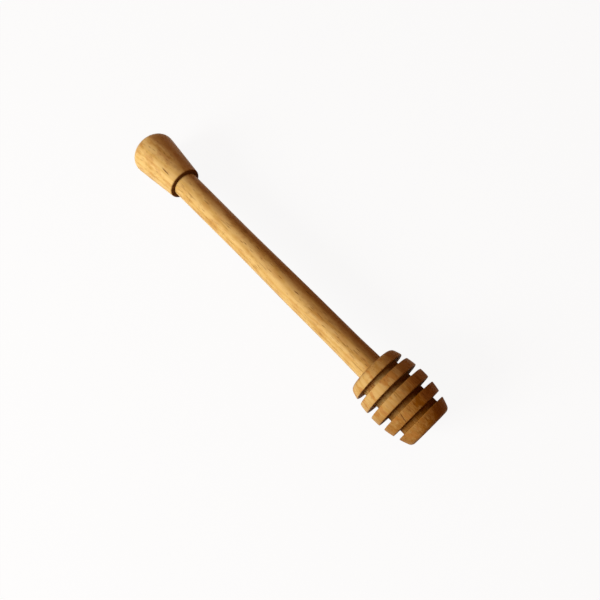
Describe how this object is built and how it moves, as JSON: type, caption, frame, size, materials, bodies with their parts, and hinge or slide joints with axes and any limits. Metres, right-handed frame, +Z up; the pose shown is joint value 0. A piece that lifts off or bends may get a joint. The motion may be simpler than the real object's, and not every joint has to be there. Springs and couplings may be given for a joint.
{
  "type": "honey dipper",
  "caption": "Turned wooden honey dipper lying on its side: barrel-shaped ringed head, slim handle and tapered knob grip.",
  "frame": {"origin": "on the table surface, under the middle of the dipper's bounding box as it lies at rest", "axes": "+X along the dipper from the knob towards the ringed head, +Y across it, +Z up"},
  "size_m": [0.1606, 0.0246, 0.0246],
  "materials": {
    "knob_wood": "oiled satin hardwood",
    "handle_wood": "oiled satin hardwood",
    "head_wood": "oiled satin hardwood, redder and darker"
  },
  "bodies": {
    "root": {"knob": "knob_wood", "handle": "handle_wood", "dipper_head": "head_wood"}
  },
  "joints": []
}
